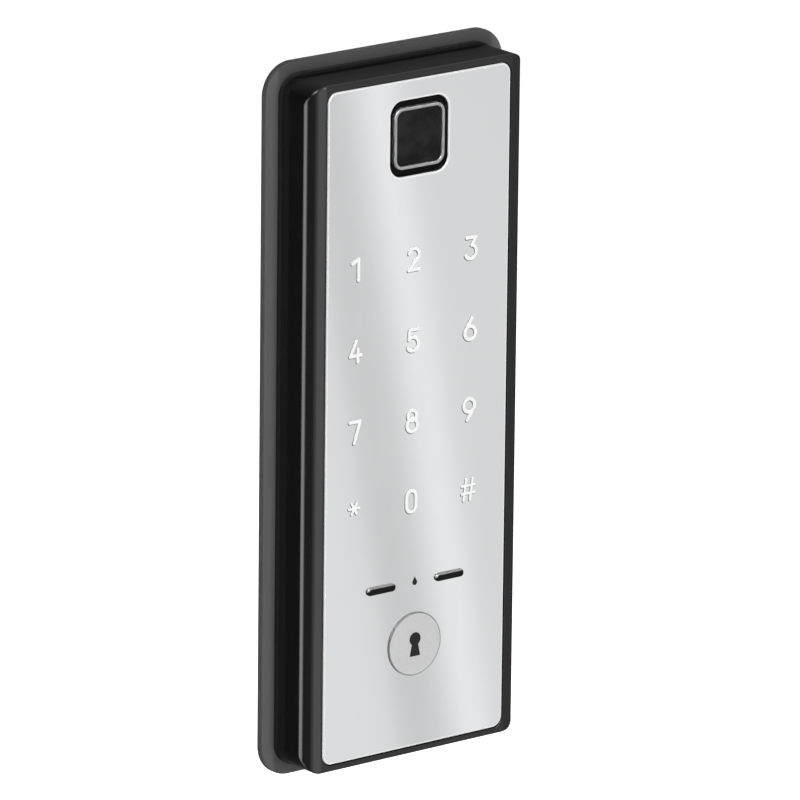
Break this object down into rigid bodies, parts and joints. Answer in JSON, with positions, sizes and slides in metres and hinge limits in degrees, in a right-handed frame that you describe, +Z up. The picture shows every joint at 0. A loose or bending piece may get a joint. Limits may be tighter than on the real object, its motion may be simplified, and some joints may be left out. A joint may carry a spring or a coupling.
{
  "type": "fingerprint scanner terminal",
  "caption": "Slim upright door terminal: mirror front with fingerprint sensor, touch keypad, supply contacts and badge, black housing, rubber mounting pad, rear tamper plunger.",
  "frame": {"origin": "centre of the mounting pad's rear face, which lies on the door", "axes": "+Z up along the long side, +Y into the door, the front faces -Y, +X to the right seen from the front"},
  "size_m": [0.0728, 0.0177, 0.1808],
  "materials": {
    "mirror_panel": "polished mirror coating on a flat plate",
    "white_print": "raised white print",
    "grey_print": "thin grey print",
    "black_print": "thin black print",
    "satin_silver": "fine satin",
    "dark_nickel": "dark nickel plating",
    "black_gloss": "glossy moulding",
    "black_matte": "matte moulding",
    "black_satin": "satin moulding",
    "dark_rubber": "matte rubber",
    "black_rubber": "matte rubber",
    "black_foam": "closed-cell foam",
    "brass": "turned brass",
    "bright_ring": "bright plated",
    "sensor_glass": "smooth dark coating",
    "green_board": "solder resist on laminate",
    "white_socket": "natural nylon",
    "amber_ribbon": "polyimide film",
    "white_diffuser": "translucent film",
    "chip_black": "moulded epoxy",
    "steel": "zinc plated",
    "spring_steel": "drawn wire"
  },
  "bodies": {
    "terminal": {"front_panel": "mirror_panel", "keypad_legends": "white_print", "legend_shadows": "grey_print", "centre_mark": "black_print", "badge_disc": "satin_silver", "badge_sign": "black_print", "left_contact": "dark_nickel", "right_contact": "dark_nickel", "housing_shell": "black_gloss", "rear_cover": "black_matte", "mounting_pad": "dark_rubber", "fixing_inserts": "brass", "cable_grommet": "black_rubber", "tamper_spring": "spring_steel", "tamper_switch": "black_matte", "sensor_frame": "black_satin", "sensor_ring": "bright_ring", "sensor_pad": "sensor_glass", "sensor_foam": "black_foam", "sensor_board": "green_board", "sensor_socket": "white_socket", "sensor_ribbon": "amber_ribbon", "sensor_screws": "steel", "diffuser_sheet": "white_diffuser", "touch_board": "green_board", "key_leds": "white_socket", "board_link": "black_matte", "main_board": "green_board", "board_screws": "steel", "controller_chip": "chip_black", "driver_chips": "chip_black", "ribbon_socket": "white_socket", "cable_socket": "white_socket", "buzzer": "chip_black", "cover_screws": "steel"},
    "plunger": {"tamper_plunger": "black_matte"}
  },
  "joints": [
    {"name": "tamper_press", "type": "slide", "parent": "terminal", "child": "plunger", "axis": [0, -1, 0], "range_m": [0, 0.0015], "stiffness_N_per_m": 300, "springref_m": -0.002, "deforming": ["tamper_spring"]}
  ]
}
